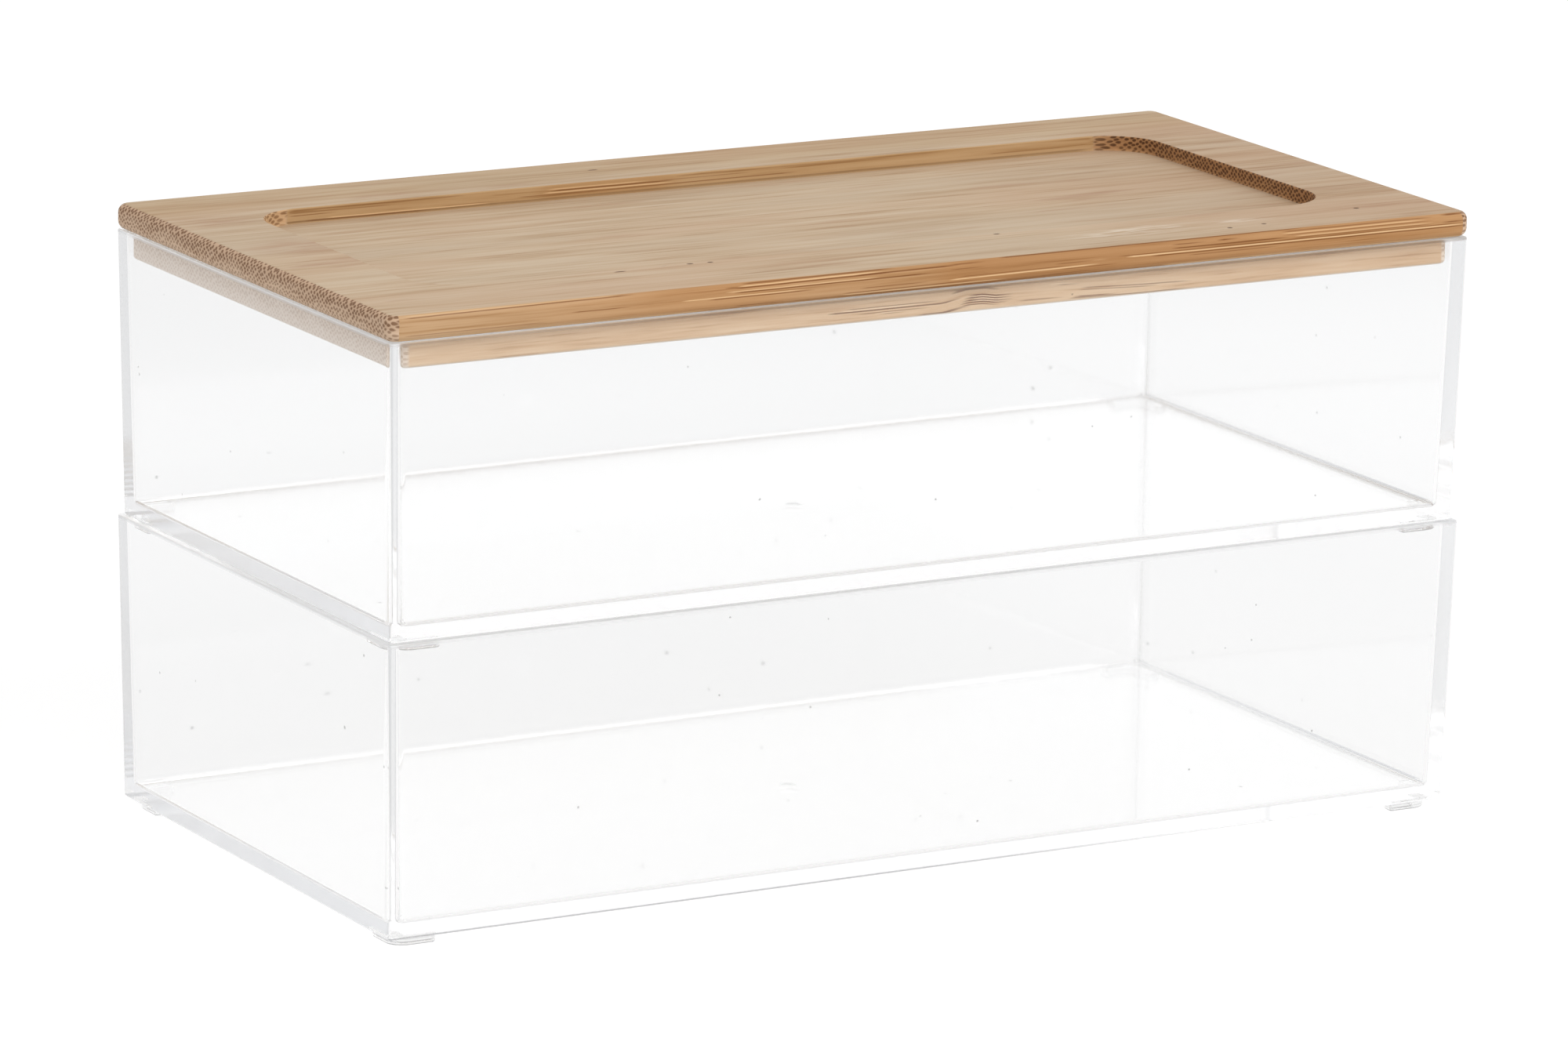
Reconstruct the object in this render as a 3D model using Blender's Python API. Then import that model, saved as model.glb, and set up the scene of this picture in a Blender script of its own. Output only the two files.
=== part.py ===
# Two stacking clear storage boxes with feet, and a wooden lid with a tray milled in its top.
# Metres, +Z up, +X along the long side. The origin is under the middle of the stack.

import math

import bmesh
import bpy

# One box, measured at its rim.
box_length = 0.2535
box_width = 0.1265
box_height = 0.0609
wall_thickness = 0.0026
wall_draft = 0.001
floor_thickness = 0.0028
outer_corner_radius = 0.0009
inner_rim_corner_radius = 0.0011
inner_floor_corner_radius = 0.002
rim_rounding = 0.0003
base_rounding = 0.0005
floor_fillet = 0.0012

# The L-shaped feet under a box, one at each corner.
foot_height = 0.002
foot_inset = 0.002
foot_reach = 0.0097
foot_arm = 0.003
foot_corner_radius = 0.0038
foot_crook_radius = 0.001
foot_end_radius = 0.0008
foot_rounding = 0.0003
foot_root = 0.0008

# The shallow dimple that the gate leaves in the middle of a floor.
gate_width = 0.0038
gate_depth = 0.0002

# Pieces that rest on each other keep this gap.
rest_gap = 0.0003

# The lid's top board.
board_thickness = 0.0054
board_overhang = 0.00045
board_corner_radius = 0.0028
board_edge_radius = 0.0018

# The tray milled in the top board, measured in from the board's edges.
tray_end_border = 0.0197
tray_side_border = 0.022
tray_depth = 0.0032
tray_corner_radius = 0.012
tray_arris_radius = 0.0003
tray_floor_fillet = 0.0004
cut_overrun = 0.001

# The plug board, which drops inside the rim of a box.
plug_thickness = 0.0056
plug_clearance = 0.00065
plug_corner_radius = 0.0025
plug_edge_radius = 0.0008
plug_arris_radius = 0.0002

# How finely the curves are cut.
corner_steps = 10
small_corner_steps = 4
profile_steps = 5
gate_segments = 32
gate_rings = 24
sharp_angle = math.radians(30)

# Heights of the stack.
lower_base = foot_height
lower_rim = lower_base + box_height
upper_base = lower_rim + rest_gap
upper_rim = upper_base + box_height
board_bottom = upper_rim + rest_gap
plug_top = board_bottom - rest_gap


def clear_scene():
    for thing in list(bpy.data.objects):
        bpy.data.objects.remove(thing, do_unlink=True)


def quarter(start, steps):
    # Angles over a quarter turn, anticlockwise from the start.
    return [start + math.pi / 2 * step / steps for step in range(steps + 1)]


def rounded_rectangle(half_length, half_width, radius):
    # Points of the outline seen from above, anticlockwise, with an arc at each corner.
    points = []
    signs = ((1, 1), (-1, 1), (-1, -1), (1, -1))
    for turn, (side, end) in enumerate(signs):
        centre_x = side * (half_length - radius)
        centre_y = end * (half_width - radius)
        for angle in quarter(turn * math.pi / 2, corner_steps):
            points.append((centre_x + radius * math.cos(angle), centre_y + radius * math.sin(angle)))
    return points


def rounded_polygon(corners):
    # Each corner is a point and a radius. Works at inward and outward corners alike.
    points = []
    for index, (x, y, radius) in enumerate(corners):
        before = corners[index - 1]
        after = corners[(index + 1) % len(corners)]
        into = (x - before[0], y - before[1])
        out = (after[0] - x, after[1] - y)
        into_length = math.hypot(*into)
        out_length = math.hypot(*out)
        into = (into[0] / into_length, into[1] / into_length)
        out = (out[0] / out_length, out[1] / out_length)
        centre = (x - radius * into[0] + radius * out[0], y - radius * into[1] + radius * out[1])
        for angle in quarter(0, small_corner_steps):
            ahead = radius * math.sin(angle)
            aside = radius * math.cos(angle)
            points.append(
                (centre[0] + ahead * into[0] - aside * out[0], centre[1] + ahead * into[1] - aside * out[1])
            )
    return points


def loft(rings):
    # Skins the outlines from the first to the last and caps both ends. A ring is (outline, height).
    shape = bmesh.new()
    loops = [[shape.verts.new((x, y, height)) for x, y in outline] for outline, height in rings]
    count = len(loops[0])
    for below, above in zip(loops, loops[1:]):
        for index in range(count):
            after = (index + 1) % count
            shape.faces.new((below[index], below[after], above[after], above[index]))
    shape.faces.new(reversed(loops[0]))
    shape.faces.new(loops[-1])
    bmesh.ops.recalc_face_normals(shape, faces=shape.faces)
    return shape


def mesh_from(shape, name):
    mesh = bpy.data.meshes.new(name)
    shape.to_mesh(mesh)
    shape.free()
    return mesh


def add_object(name, mesh):
    thing = bpy.data.objects.new(name, mesh)
    bpy.context.scene.collection.objects.link(thing)
    return thing


def combined(mesh, tool_mesh, operation):
    # The mesh after a Boolean with the tool. The two helper objects are taken away again.
    body = add_object(mesh.name, mesh)
    tool = add_object(tool_mesh.name, tool_mesh)
    tool.hide_render = True
    tool.display_type = "WIRE"
    cut = body.modifiers.new("cut", "BOOLEAN")
    cut.operation = operation
    cut.solver = "EXACT"
    cut.object = tool
    bpy.context.view_layer.update()
    graph = bpy.context.evaluated_depsgraph_get()
    result = bpy.data.meshes.new_from_object(body.evaluated_get(graph))
    bpy.data.objects.remove(body, do_unlink=True)
    bpy.data.objects.remove(tool, do_unlink=True)
    return result


def shade(mesh, material):
    mesh.shade_smooth()
    mesh.set_sharp_from_angle(angle=sharp_angle)
    mesh.materials.clear()
    mesh.materials.append(material)


def make_material(name, colour, roughness, transmission=0.0):
    material = bpy.data.materials.new(name)
    material.use_nodes = True
    shader = material.node_tree.nodes["Principled BSDF"]
    shader.inputs["Base Color"].default_value = (*colour, 1)
    shader.inputs["Roughness"].default_value = roughness
    shader.inputs["Metallic"].default_value = 0.0
    shader.inputs["Transmission Weight"].default_value = transmission
    return material


def wall_ring(inset, height, radius):
    # An outline of the box, drawn in from the outer edge of its rim.
    outline = rounded_rectangle(box_length / 2 - inset, box_width / 2 - inset, radius)
    return outline, height


def box_shell():
    # The profile runs from the underside, up the outside, over the rim and down the inside to the floor.
    rings = []
    for angle in quarter(-math.pi / 2, profile_steps):
        drawn_in = base_rounding * (1 - math.cos(angle))
        height = base_rounding * (1 + math.sin(angle))
        rings.append(wall_ring(wall_draft + drawn_in, height, outer_corner_radius - drawn_in))
    for angle in quarter(0, profile_steps):
        drawn_in = rim_rounding * (1 - math.cos(angle))
        height = box_height - rim_rounding * (1 - math.sin(angle))
        rings.append(wall_ring(drawn_in, height, outer_corner_radius - drawn_in))
    for angle in quarter(math.pi / 2, profile_steps):
        drawn_out = rim_rounding * (1 + math.cos(angle))
        height = box_height - rim_rounding * (1 - math.sin(angle))
        radius = inner_rim_corner_radius + drawn_out
        rings.append(wall_ring(wall_thickness - drawn_out, height, radius))
    for angle in quarter(math.pi, profile_steps):
        drawn_in = floor_fillet * (1 + math.cos(angle))
        height = floor_thickness + floor_fillet * (1 + math.sin(angle))
        radius = inner_floor_corner_radius - drawn_in
        rings.append(wall_ring(wall_draft + wall_thickness + drawn_in, height, radius))
    return mesh_from(loft(rings), "box_shell")


def foot_outline(side, end, drawn_in):
    # An L with a round outer corner. Side and end say which corner of the box it is under.
    x = box_length / 2 - wall_draft - foot_inset - drawn_in
    y = box_width / 2 - wall_draft - foot_inset - drawn_in
    reach = foot_reach - 2 * drawn_in
    arm = foot_arm - 2 * drawn_in
    end_radius = foot_end_radius - drawn_in
    corners = [
        (x, y, foot_corner_radius - drawn_in),
        (x - reach, y, end_radius),
        (x - reach, y - arm, end_radius),
        (x - arm, y - arm, foot_crook_radius + drawn_in),
        (x - arm, y - reach, end_radius),
        (x, y - reach, end_radius),
    ]
    return rounded_polygon([(side * corner[0], end * corner[1], corner[2]) for corner in corners])


def box_feet():
    # Four feet as one mesh, each with its lower edge rounded and its root inside the floor.
    feet = bmesh.new()
    for side, end in ((1, 1), (-1, 1), (-1, -1), (1, -1)):
        rings = []
        for angle in quarter(-math.pi / 2, small_corner_steps):
            drawn_in = foot_rounding * (1 - math.cos(angle))
            height = foot_rounding * (1 + math.sin(angle)) - foot_height
            rings.append((foot_outline(side, end, drawn_in), height))
        rings.append((foot_outline(side, end, 0), foot_root))
        foot = mesh_from(loft(rings), "foot")
        feet.from_mesh(foot)
        bpy.data.meshes.remove(foot)
    return mesh_from(feet, "box_feet")


def gate_cutter():
    # A sphere that leaves a dimple of the gate's width and depth in the floor.
    radius = (gate_width**2 / 4 + gate_depth**2) / (2 * gate_depth)
    ball = bmesh.new()
    bmesh.ops.create_uvsphere(ball, u_segments=gate_segments, v_segments=gate_rings, radius=radius)
    bmesh.ops.translate(ball, verts=ball.verts, vec=(0, 0, floor_thickness - gate_depth + radius))
    return mesh_from(ball, "gate_cutter")


def box_mesh(material):
    with_feet = combined(box_shell(), box_feet(), "UNION")
    mesh = combined(with_feet, gate_cutter(), "DIFFERENCE")
    mesh.name = "storage_box"
    shade(mesh, material)
    return mesh


def board_ring(half_length, half_width, corner_radius, drawn_in, height):
    outline = rounded_rectangle(half_length - drawn_in, half_width - drawn_in, corner_radius - drawn_in)
    return outline, height


def top_board_mesh(material):
    half_length = box_length / 2 + board_overhang
    half_width = box_width / 2 + board_overhang
    rings = []
    for angle in quarter(-math.pi / 2, profile_steps):
        drawn_in = board_edge_radius * (1 - math.cos(angle))
        height = board_edge_radius * (1 + math.sin(angle))
        rings.append(board_ring(half_length, half_width, board_corner_radius, drawn_in, height))
    for angle in quarter(0, profile_steps):
        drawn_in = board_edge_radius * (1 - math.cos(angle))
        height = board_thickness - board_edge_radius * (1 - math.sin(angle))
        rings.append(board_ring(half_length, half_width, board_corner_radius, drawn_in, height))
    board = mesh_from(loft(rings), "top_board")
    mesh = combined(board, tray_cutter(half_length, half_width), "DIFFERENCE")
    mesh.name = "lid_top_board"
    shade(mesh, material)
    return mesh


def tray_cutter(half_length, half_width):
    # The space of the tray: a small fillet at its floor, and a mouth that rounds over its upper edge.
    tray_length = half_length - tray_end_border
    tray_width = half_width - tray_side_border
    floor = board_thickness - tray_depth
    rings = []
    for angle in quarter(-math.pi / 2, small_corner_steps):
        drawn_in = tray_floor_fillet * (1 - math.cos(angle))
        height = floor + tray_floor_fillet * (1 + math.sin(angle))
        rings.append(board_ring(tray_length, tray_width, tray_corner_radius, drawn_in, height))
    for angle in reversed(quarter(math.pi / 2, small_corner_steps)):
        drawn_in = -tray_arris_radius * (1 + math.cos(angle))
        height = board_thickness - tray_arris_radius * (1 - math.sin(angle))
        rings.append(board_ring(tray_length, tray_width, tray_corner_radius, drawn_in, height))
    top = board_thickness + cut_overrun
    rings.append(board_ring(tray_length, tray_width, tray_corner_radius, -tray_arris_radius, top))
    return mesh_from(loft(rings), "tray_cutter")


def plug_board_mesh(material):
    # Fits inside the rim of a box. Its upper edge is only broken, and its lower edge is rounded.
    half_length = box_length / 2 - wall_thickness - plug_clearance
    half_width = box_width / 2 - wall_thickness - plug_clearance
    rings = []
    for angle in quarter(-math.pi / 2, profile_steps):
        drawn_in = plug_edge_radius * (1 - math.cos(angle))
        height = plug_edge_radius * (1 + math.sin(angle)) - plug_thickness
        rings.append(board_ring(half_length, half_width, plug_corner_radius, drawn_in, height))
    for angle in quarter(0, small_corner_steps):
        drawn_in = plug_arris_radius * (1 - math.cos(angle))
        height = -plug_arris_radius * (1 - math.sin(angle))
        rings.append(board_ring(half_length, half_width, plug_corner_radius, drawn_in, height))
    mesh = mesh_from(loft(rings), "lid_plug_board")
    shade(mesh, material)
    return mesh


def build():
    clear_scene()
    clear_plastic = make_material("clear_plastic", (0.94, 0.95, 0.96), 0.04, 1.0)
    bamboo = make_material("bamboo", (0.58, 0.41, 0.25), 0.55)

    moulding = box_mesh(clear_plastic)
    lower_box = add_object("lower_box", moulding)
    lower_box.location.z = lower_base
    upper_box = add_object("upper_box", moulding)
    upper_box.location.z = upper_base

    lid = bpy.data.objects.new("lid", None)
    bpy.context.scene.collection.objects.link(lid)
    lid.location.z = board_bottom
    top_board = add_object("lid_top_board", top_board_mesh(bamboo))
    top_board.parent = lid
    plug_board = add_object("lid_plug_board", plug_board_mesh(bamboo))
    plug_board.parent = lid
    plug_board.location.z = plug_top - board_bottom


build()
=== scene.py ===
import math

import bpy
import numpy as np
from mathutils import Matrix, Vector


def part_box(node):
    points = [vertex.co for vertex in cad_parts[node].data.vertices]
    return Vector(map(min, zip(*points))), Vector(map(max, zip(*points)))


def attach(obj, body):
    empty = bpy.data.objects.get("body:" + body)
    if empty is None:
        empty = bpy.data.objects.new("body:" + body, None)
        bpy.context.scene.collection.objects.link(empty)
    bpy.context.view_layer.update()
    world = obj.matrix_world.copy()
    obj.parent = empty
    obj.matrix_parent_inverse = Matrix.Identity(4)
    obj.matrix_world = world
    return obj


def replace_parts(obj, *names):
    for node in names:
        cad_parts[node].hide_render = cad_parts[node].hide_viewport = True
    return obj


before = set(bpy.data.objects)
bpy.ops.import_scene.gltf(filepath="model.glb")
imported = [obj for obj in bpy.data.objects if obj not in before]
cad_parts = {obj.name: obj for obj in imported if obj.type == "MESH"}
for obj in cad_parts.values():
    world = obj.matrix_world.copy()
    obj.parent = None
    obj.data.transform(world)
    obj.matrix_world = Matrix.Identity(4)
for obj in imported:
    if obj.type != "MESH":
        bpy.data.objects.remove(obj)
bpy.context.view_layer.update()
print("frame loaded:", sorted(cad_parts))

quarterTurn = math.pi / 2
sharpAngle = math.radians(30)


# Colours are given as the 0 to 255 values of a colour picker.
def paint(red, green, blue):
    shares = np.array([red, green, blue]) / 255
    linear = np.where(shares > 0.04045, ((shares + 0.055) / 1.055) ** 2.4, shares / 12.92)
    return (*linear.tolist(), 1.0)


# An arc of angles, anticlockwise from start over a quarter turn.
def quarterArc(start, steps):
    return start + np.linspace(0, quarterTurn, steps + 1)


# Rounded rectangles seen from above, one row per ring: centre of the corner arc plus radius times
# (cosine, sine) of an angle that runs once round, with a straight side between two corners.
def outlineRows(halfLength, halfWidth, radius, cornerSteps):
    turns = np.repeat(np.arange(4), cornerSteps + 1)
    angles = np.tile(np.linspace(0, quarterTurn, cornerSteps + 1), 4) + turns * quarterTurn
    sideX = np.array([1, -1, -1, 1])[turns]
    sideY = np.array([1, 1, -1, -1])[turns]
    halfLength, halfWidth, radius = (np.asarray(v, float)[:, None] for v in (halfLength, halfWidth, radius))
    x = sideX * (halfLength - radius) + radius * np.cos(angles)
    y = sideY * (halfWidth - radius) + radius * np.sin(angles)
    return x, y


# A closed skin over the rows of points x, y at the heights z, from the first row to the last.
def skinMesh(name, x, y, z):
    rows, columns = x.shape
    points = np.stack([x, y, np.broadcast_to(np.asarray(z, float)[:, None], x.shape)], axis=-1)
    index = np.arange(rows * columns).reshape(rows, columns)
    after = np.roll(index, -1, axis=1)
    quads = np.stack([index[:-1], after[:-1], after[1:], index[1:]], axis=-1).reshape(-1, 4)
    caps = [index[0, ::-1].tolist(), index[-1].tolist()]
    mesh = bpy.data.meshes.new(name)
    mesh.from_pydata(points.reshape(-1, 3).tolist(), [], quads.tolist() + caps)
    mesh.update()
    return mesh


def addPiece(name, mesh, material):
    piece = bpy.data.objects.new(name, mesh)
    bpy.context.scene.collection.objects.link(piece)
    mesh.materials.clear()
    mesh.materials.append(material)
    return piece


# Smooth shading in which the large flat faces keep their own normals.
def smoothShade(piece):
    piece.data.shade_smooth()
    piece.data.set_sharp_from_angle(angle=sharpAngle)
    weighted = piece.modifiers.new("flat faces first", "WEIGHTED_NORMAL")
    weighted.weight = 100
    weighted.keep_sharp = True


def combine(mesh, toolMesh, operation):
    body = bpy.data.objects.new("body", mesh)
    tool = bpy.data.objects.new("tool", toolMesh)
    bpy.context.scene.collection.objects.link(body)
    bpy.context.scene.collection.objects.link(tool)
    change = body.modifiers.new("change", "BOOLEAN")
    change.operation = operation
    change.solver = "EXACT"
    change.object = tool
    graph = bpy.context.evaluated_depsgraph_get()
    result = bpy.data.meshes.new_from_object(body.evaluated_get(graph))
    bpy.data.objects.remove(body)
    bpy.data.objects.remove(tool)
    return result


def moved(mesh, height):
    copy = mesh.copy()
    copy.transform(Matrix.Translation((0, 0, height)))
    return copy


# Links each input to a socket, or sets it to a value.
def feed(tree, node, inputs):
    for name, value in inputs.items():
        if isinstance(value, bpy.types.NodeSocket):
            tree.links.new(value, node.inputs[name])
        else:
            node.inputs[name].default_value = value


def put(tree, kind, inputs=None, **settings):
    node = tree.nodes.new(kind)
    for name, value in settings.items():
        setattr(node, name, value)
    feed(tree, node, inputs or {})
    return node


def maths(tree, operation, first, second=0.0, clamp=False):
    node = put(tree, "ShaderNodeMath", {0: first, 1: second}, operation=operation, use_clamp=clamp)
    return node.outputs[0]


def times(tree, first, second, clamp=False):
    return maths(tree, "MULTIPLY", first, second, clamp)


def plus(tree, first, second):
    return maths(tree, "ADD", first, second)


def minus(tree, first, second, clamp=False):
    return maths(tree, "SUBTRACT", first, second, clamp)


def larger(tree, first, second):
    return maths(tree, "MAXIMUM", first, second)


def vectorMaths(tree, operation, first, second):
    return put(tree, "ShaderNodeVectorMath", {0: first, 1: second}, operation=operation).outputs[0]


def blendValues(tree, share, first, second):
    return put(tree, "ShaderNodeMix", {0: share, 2: first, 3: second}, data_type="FLOAT").outputs[0]


def splitAxes(tree, vector):
    return put(tree, "ShaderNodeSeparateXYZ", {0: vector}).outputs


def attribute(tree, name):
    return put(tree, "ShaderNodeAttribute", attribute_name=name).outputs["Fac"]


def between(tree, value, low, high, lowOut=0.0, highOut=1.0):
    inputs = {"Value": value, "From Min": low, "From Max": high, "To Min": lowOut, "To Max": highOut}
    return put(tree, "ShaderNodeMapRange", inputs, interpolation_type="SMOOTHSTEP").outputs[0]


def blendColours(tree, share, first, second, mode="MIX"):
    node = put(tree, "ShaderNodeMix", {0: share, 6: first, 7: second}, data_type="RGBA", blend_type=mode)
    return node.outputs[2]


def stretched(tree, vector, scale):
    return put(tree, "ShaderNodeMapping", {"Vector": vector, "Scale": scale}).outputs[0]


def noise(tree, vector, detail=3.0, roughness=0.5, distortion=0.0):
    inputs = {
        "Vector": vector, "Scale": 1.0,
        "Detail": detail, "Roughness": roughness, "Distortion": distortion,
    }
    return put(tree, "ShaderNodeTexNoise", inputs).outputs[0]


# The product of soft masks, each a value and where it starts and is complete.
def maskOf(tree, *limits):
    mask = None
    for value, span in limits:
        one = between(tree, value, *span)
        mask = one if mask is None else times(tree, mask, one)
    return mask


def newGroup(name, inputs, outputs):
    tree = bpy.data.node_groups.new(name, "ShaderNodeTree")
    for socket, kind, value in inputs:
        made = tree.interface.new_socket(socket, in_out="INPUT", socket_type=kind)
        if value is not None:
            made.default_value = value
    for socket, kind in outputs:
        tree.interface.new_socket(socket, in_out="OUTPUT", socket_type=kind)
    return tree, tree.nodes.new("NodeGroupInput").outputs, tree.nodes.new("NodeGroupOutput")


def useGroup(tree, group, inputs):
    return put(tree, "ShaderNodeGroup", inputs, node_tree=group).outputs


def newMaterial(name):
    material = bpy.data.materials.new(name)
    material.use_nodes = True
    tree = material.node_tree
    shader = tree.nodes["Principled BSDF"]
    place = tree.nodes.new("ShaderNodeTexCoord").outputs["Object"]
    return material, tree, shader, place


vectorKind = "NodeSocketVector"
valueKind = "NodeSocketFloat"
colourKind = "NodeSocketColor"


# share of the lines along and across, then the noise's detail, roughness and distortion
fibreLayers = {
    "broad": (0.9, 0.09, 3.0, 0.55, 0.3),
    "streaks": (1.3, 0.5, 3.0, 0.6, 0.15),
    "lines": (1.8, 1.3, 2.0, 0.55, 0.0),
}

# where the mixed noise turns pale or dark, and where lines and streaks let a dark line show
fibreTurns = {"pale": (0.47, 0.62), "dark": (0.5, 0.38), "line": (0.44, 0.3), "streak": (0.62, 0.42)}


# Long fibres along X: broad soft bands, narrow streaks and broken dark lines, each a stretched noise.
# The tone is a quarter of the bands, half of the streaks and a quarter of the lines.
def makeFibres():
    tree, given, out = newGroup(
        "bambooFibres",
        [
            ("Vector", vectorKind, None),
            ("Pale", colourKind, None),
            ("Middle", colourKind, None),
            ("Dark", colourKind, None),
            ("Line", colourKind, None),
            ("Line Share", valueKind, 0.5),
            ("Lines Across", valueKind, 900.0),
            ("Lines Along", valueKind, 14.0),
        ],
        [("Color", colourKind), ("Height", valueKind), ("Streak", valueKind)],
    )

    def layer(name):
        along, across, detail, roughness, distortion = fibreLayers[name]
        x = times(tree, given["Lines Along"], along)
        y = times(tree, given["Lines Across"], across)
        scale = put(tree, "ShaderNodeCombineXYZ", {"X": x, "Y": y, "Z": y}).outputs[0]
        spread = vectorMaths(tree, "MULTIPLY", given["Vector"], scale)
        return noise(tree, spread, detail, roughness, distortion)

    broad = layer("broad")
    streaks = layer("streaks")
    lines = layer("lines")
    mixed = plus(tree, times(tree, broad, 0.25), times(tree, streaks, 0.5))
    mixed = plus(tree, mixed, times(tree, lines, 0.25))
    colour = blendColours(tree, between(tree, mixed, *fibreTurns["pale"]), given["Middle"], given["Pale"])
    colour = blendColours(tree, between(tree, mixed, *fibreTurns["dark"]), colour, given["Dark"])
    thin = between(tree, lines, *fibreTurns["line"])
    mask = times(tree, thin, between(tree, streaks, *fibreTurns["streak"]))
    mask = times(tree, mask, given["Line Share"])
    colour = blendColours(tree, mask, colour, given["Line"])
    height = minus(tree, times(tree, lines, 0.5), mask)
    feed(tree, out, {"Color": colour, "Height": height, "Streak": mixed})
    return tree


poreRows = {
    "bendScale": (4, 130, 260),
    "bendAcross": 0.0022,
    "bendUp": 0.0012,
    "rowScale": (0.57, 0.71, 1),
    "randomness": 0.4,
    "patchScale": (90, 140, 500),
    "patchRise": 0.006,
    "halfChange": 0.0016,  # half the height over which the dots grow larger and darker
    "size": 0.4,
    "growth": 0.06,
    "softness": 0.18,
    "strength": 0.6,
    "strengthGrowth": 0.3,
}


# The cut ends of the fibre bundles: dark dots in staggered, slightly bent rows in the YZ plane, larger and
# darker on top. A dot is size minus the distance to its cell's centre. The dots run through the board
# along X, so a slanting cut draws them out.
def makePores():
    tree, given, out = newGroup(
        "bambooPores",
        [
            ("Vector", vectorKind, None),
            ("Pale", colourKind, None),
            ("Dark", colourKind, None),
            ("Dot", colourKind, None),
            ("Spacing", valueKind, 0.0006),
            ("Middle Height", valueKind, 0.127),
        ],
        [("Color", colourKind), ("Height", valueKind)],
    )
    look = poreRows
    axes = splitAxes(tree, given["Vector"])
    bend = minus(tree, noise(tree, stretched(tree, given["Vector"], look["bendScale"]), detail=2.0), 0.5)
    across = plus(tree, axes["Y"], times(tree, bend, look["bendAcross"]))
    up = plus(tree, axes["Z"], times(tree, bend, look["bendUp"]))
    plane = put(tree, "ShaderNodeCombineXYZ", {"X": across, "Y": up}).outputs[0]
    turned = {"Vector": plane, "Rotation": (0, 0, quarterTurn / 2), "Scale": look["rowScale"]}
    rows = put(tree, "ShaderNodeMapping", turned).outputs[0]
    scale = maths(tree, "DIVIDE", 1.0, given["Spacing"])
    inputs = {"Vector": rows, "Scale": scale, "Randomness": look["randomness"]}
    cells = put(tree, "ShaderNodeTexVoronoi", inputs, voronoi_dimensions="2D").outputs["Distance"]
    patches = noise(tree, stretched(tree, given["Vector"], look["patchScale"]), detail=2.0)
    rise = minus(tree, axes["Z"], given["Middle Height"])
    rise = plus(tree, rise, times(tree, minus(tree, patches, 0.5), look["patchRise"]))
    upper = between(tree, rise, -look["halfChange"], look["halfChange"])
    ground = blendColours(tree, upper, given["Pale"], given["Dark"])
    size = plus(tree, look["size"], times(tree, upper, look["growth"]))
    dots = maths(tree, "DIVIDE", minus(tree, size, cells), look["softness"], True)
    strength = plus(tree, look["strength"], times(tree, upper, look["strengthGrowth"]))
    colour = blendColours(tree, times(tree, dots, strength), ground, given["Dot"])
    feed(tree, out, {"Color": colour, "Height": minus(tree, 1.0, dots)})
    return tree


drawnLines = {
    "softStart": 0.002,
    "softEnd": 0.004,
    "core": 1.5,
    "wanderScale": 60.0,
    "wander": 0.00014,
    "breakAlong": 120.0,
    "breakAcross": 500.0,
    "breakTurn": (0.3, 0.45, 0.9, 1.0),  # from and to on the noise, and the line's strength there
}


# A thin line along X on an upright face: one minus the distance to its height, which may slope, over the
# half thickness, soft at both ends.
def makeStripe():
    tree, given, out = newGroup(
        "fibreLine",
        [
            ("Along", valueKind, 0.0),
            ("Up", valueKind, 0.0),
            ("Height", valueKind, 0.0),
            ("Slope", valueKind, 0.0),
            ("Half Thickness", valueKind, 0.0002),
            ("From", valueKind, -0.1),
            ("To", valueKind, 0.1),
        ],
        [("Mask", valueKind)],
    )
    look = drawnLines
    run = minus(tree, given["Along"], given["From"])
    height = plus(tree, given["Height"], times(tree, given["Slope"], run))
    away = maths(tree, "ABSOLUTE", minus(tree, given["Up"], height))
    near = minus(tree, 1.0, maths(tree, "DIVIDE", away, given["Half Thickness"]), True)
    near = times(tree, near, look["core"], True)
    inFrom = maths(tree, "DIVIDE", run, look["softStart"], True)
    inTo = maths(tree, "DIVIDE", minus(tree, given["To"], given["Along"]), look["softEnd"], True)
    mask = times(tree, near, times(tree, inFrom, inTo))
    feed(tree, out, {"Mask": mask})
    return tree


# Draws single fibres over a colour, and in the same way lines of painted highlight and painted shade. A line
# is its height and slope, its ends and half thickness, all in millimetres, its colour and its strength.
def drawFibres(tree, colour, along, up, lines, look, share):
    shape = drawnLines
    wander = put(tree, "ShaderNodeCombineXYZ", {"X": times(tree, along, shape["wanderScale"])}).outputs[0]
    wander = times(tree, minus(tree, noise(tree, wander, detail=2.0), 0.5), shape["wander"])
    up = plus(tree, up, wander)
    broken = put(tree, "ShaderNodeCombineXYZ", {
        "X": times(tree, along, shape["breakAlong"]), "Z": times(tree, up, shape["breakAcross"]),
    }).outputs[0]
    whole = between(tree, noise(tree, broken, detail=2.0), *shape["breakTurn"])
    share = times(tree, share, whole)
    for height, slope, start, stop, thickness, name, strength in lines:
        mask = useGroup(tree, fibreLine, {
            "Along": along, "Up": up, "Height": height / 1000, "Slope": slope,
            "Half Thickness": thickness / 1000, "From": start / 1000, "To": stop / 1000,
        })["Mask"]
        mask = times(tree, times(tree, mask, strength), share)
        colour = blendColours(tree, mask, colour, look[name])
    return colour


# A soft oval around a place on the flat of the board, 1 in the middle and 0 at its rim.
def makeOval():
    tree, given, out = newGroup(
        "softOval",
        [
            ("Vector", vectorKind, None),
            ("Centre", vectorKind, None),
            ("Size", vectorKind, (0.01, 0.01, 1.0)),
        ],
        [("Mask", valueKind)],
    )
    offset = vectorMaths(tree, "SUBTRACT", given["Vector"], given["Centre"])
    share = vectorMaths(tree, "DIVIDE", offset, given["Size"])
    length = put(tree, "ShaderNodeVectorMath", {0: share}, operation="LENGTH").outputs["Value"]
    feed(tree, out, {"Mask": minus(tree, 1.0, length, True)})
    return tree


fibres = makeFibres()
pores = makePores()
fibreLine = makeStripe()
softOval = makeOval()
print("shared effects made")

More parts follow.
